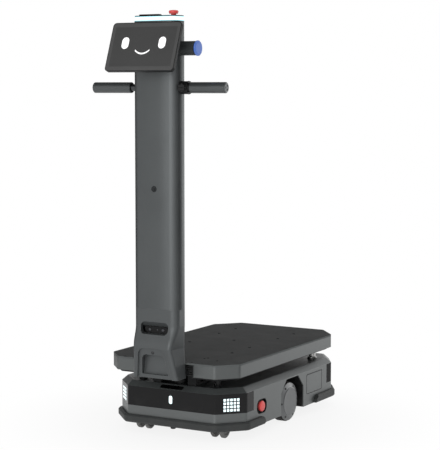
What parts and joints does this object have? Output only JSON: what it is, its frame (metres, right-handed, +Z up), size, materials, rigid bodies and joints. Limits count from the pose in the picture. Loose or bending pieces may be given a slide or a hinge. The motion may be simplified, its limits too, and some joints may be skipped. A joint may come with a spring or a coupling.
{
  "type": "autonomous mobile robot",
  "caption": "Low wheeled delivery robot chassis with a flat load deck, tall front mast, tilted display, handlebar, light ring and stop buttons.",
  "frame": {"origin": "on the floor under the middle of the robot's overall box, display edge to rear bumper", "axes": "+Z up, the robot drives towards -Y, +X is the robot's left side, where the charge flap is"},
  "size_m": [0.496, 0.9734, 1.35],
  "materials": {
    "grey_shell": "fine-textured moulded grey",
    "grey_mast": "fine-textured grey powder coat",
    "shroud_grey": "fine-textured moulded grey",
    "grey_deck": "satin grey powder coat",
    "deck_top": "matt black-grey anti-slip coat",
    "black_plate": "satin black",
    "frame_steel": "black powder coat",
    "gloss_black": "gloss black",
    "satin_black": "satin black",
    "window_black": "infrared-clear black",
    "led": "lit cool-white lamps",
    "ring_light": "lit white diffuser",
    "bumper_rubber": "matt dark rubber",
    "liner_black": "matt black",
    "motor_metal": "as cast",
    "battery_case": "matt black",
    "aluminium_case": "anodised",
    "scanner_case": "dark polycarbonate",
    "zinc_steel": "zinc plated",
    "polished_post": "turned and polished",
    "bracket_alloy": "black coated casting",
    "lock_steel": "dark grey",
    "handle_tube": "satin black tube",
    "grip_rubber": "soft dark grip",
    "clamp_black": "matt black",
    "stop_red": "red",
    "button_blue": "translucent blue",
    "display_case": "satin black",
    "screen_glass": "smoked glass over a lit panel",
    "hub_grey": "satin grey",
    "tyre": "matt rubber tread",
    "caster_black": "glass-filled nylon",
    "caster_wheel": "grey polyurethane"
  },
  "bodies": {
    "chassis": {"chassis_shell": "grey_shell", "base_frame": "frame_steel", "top_cover": "black_plate", "front_light_cover": "gloss_black", "front_leds": "led", "front_bevel_cover": "satin_black", "sensor_windows": "window_black", "front_bumper": "bumper_rubber", "rear_bumper": "bumper_rubber", "wheel_liners": "liner_black", "drive_motors": "motor_metal", "battery_pack": "battery_case", "control_box": "aluminium_case", "lidar_scanner": "scanner_case", "caster_plates": "zinc_steel", "deck_posts": "polished_post", "deck_underplate": "black_plate", "deck_skirt": "grey_deck", "deck_plate": "deck_top", "notch_grilles": "liner_black", "mast_foot_bracket": "bracket_alloy", "foot_shroud": "shroud_grey", "depth_camera": "window_black", "floor_camera": "window_black", "mast_spine": "frame_steel", "mast_column": "grey_mast", "mast_rear_cover": "grey_mast", "cover_lock": "lock_steel", "handle_tube": "handle_tube", "handle_grip_left": "grip_rubber", "handle_grip_right": "grip_rubber", "handle_clamp": "clamp_black", "light_ring": "ring_light", "top_cap": "gloss_black", "antenna_cover": "satin_black", "top_stop_base": "satin_black", "stop_housings": "satin_black", "call_button_housing": "satin_black", "display_bracket": "satin_black", "display_housing": "display_case", "display_glass": "screen_glass", "charge_port": "satin_black", "flap_pin": "zinc_steel"},
    "drive_wheel_left": {"drive_hub_left": "hub_grey", "drive_tyre_left": "tyre"},
    "drive_wheel_right": {"drive_hub_right": "hub_grey", "drive_tyre_right": "tyre"},
    "caster_front_left": {"caster_fork_front_left": "caster_black"},
    "caster_wheels_front_left": {"caster_wheels_front_left": "caster_wheel"},
    "caster_front_right": {"caster_fork_front_right": "caster_black"},
    "caster_wheels_front_right": {"caster_wheels_front_right": "caster_wheel"},
    "caster_rear_left": {"caster_fork_rear_left": "caster_black"},
    "caster_wheels_rear_left": {"caster_wheels_rear_left": "caster_wheel"},
    "caster_rear_right": {"caster_fork_rear_right": "caster_black"},
    "caster_wheels_rear_right": {"caster_wheels_rear_right": "caster_wheel"},
    "top_stop": {"top_stop_button": "stop_red"},
    "side_stop_left": {"stop_button_left": "stop_red"},
    "side_stop_right": {"stop_button_right": "stop_red"},
    "call_button": {"call_button": "button_blue"},
    "service_flap": {"service_flap": "grey_shell"}
  },
  "joints": [
    {"name": "drive_wheel_left_spin", "type": "hinge", "parent": "chassis", "child": "drive_wheel_left", "pos_m": [0.202, 0.09368, 0.066], "axis": [1, 0, 0], "continuous": true},
    {"name": "drive_wheel_right_spin", "type": "hinge", "parent": "chassis", "child": "drive_wheel_right", "pos_m": [-0.202, 0.09368, 0.066], "axis": [1, 0, 0], "continuous": true},
    {"name": "caster_front_left_swivel", "type": "hinge", "parent": "chassis", "child": "caster_front_left", "pos_m": [0.14, -0.20932, 0.07], "axis": [0, 0, 1], "continuous": true},
    {"name": "caster_front_left_roll", "type": "hinge", "parent": "caster_front_left", "child": "caster_wheels_front_left", "pos_m": [0.14, -0.22932, 0.027], "axis": [1, 0, 0], "continuous": true},
    {"name": "caster_front_right_swivel", "type": "hinge", "parent": "chassis", "child": "caster_front_right", "pos_m": [-0.14, -0.20932, 0.07], "axis": [0, 0, 1], "continuous": true},
    {"name": "caster_front_right_roll", "type": "hinge", "parent": "caster_front_right", "child": "caster_wheels_front_right", "pos_m": [-0.14, -0.22932, 0.027], "axis": [1, 0, 0], "continuous": true},
    {"name": "caster_rear_left_swivel", "type": "hinge", "parent": "chassis", "child": "caster_rear_left", "pos_m": [0.14, 0.39368, 0.07], "axis": [0, 0, 1], "continuous": true},
    {"name": "caster_rear_left_roll", "type": "hinge", "parent": "caster_rear_left", "child": "caster_wheels_rear_left", "pos_m": [0.14, 0.37368, 0.027], "axis": [1, 0, 0], "continuous": true},
    {"name": "caster_rear_right_swivel", "type": "hinge", "parent": "chassis", "child": "caster_rear_right", "pos_m": [-0.14, 0.39368, 0.07], "axis": [0, 0, 1], "continuous": true},
    {"name": "caster_rear_right_roll", "type": "hinge", "parent": "caster_rear_right", "child": "caster_wheels_rear_right", "pos_m": [-0.14, 0.37368, 0.027], "axis": [1, 0, 0], "continuous": true},
    {"name": "top_stop_press", "type": "slide", "parent": "chassis", "child": "top_stop", "axis": [0, 0, -1], "range_m": [0, 0.004]},
    {"name": "side_stop_left_press", "type": "slide", "parent": "chassis", "child": "side_stop_left", "axis": [-1, 0, 0], "range_m": [0, 0.004]},
    {"name": "side_stop_right_press", "type": "slide", "parent": "chassis", "child": "side_stop_right", "axis": [1, 0, 0], "range_m": [0, 0.004]},
    {"name": "call_button_press", "type": "slide", "parent": "chassis", "child": "call_button", "axis": [-1, 0, 0], "range_m": [0, 0.0025], "stiffness_N_per_m": 800},
    {"name": "service_flap_hinge", "type": "hinge", "parent": "chassis", "child": "service_flap", "pos_m": [0.233, 0.25868, 0.138], "axis": [0, -1, 0], "range_deg": [0, 90]}
  ]
}
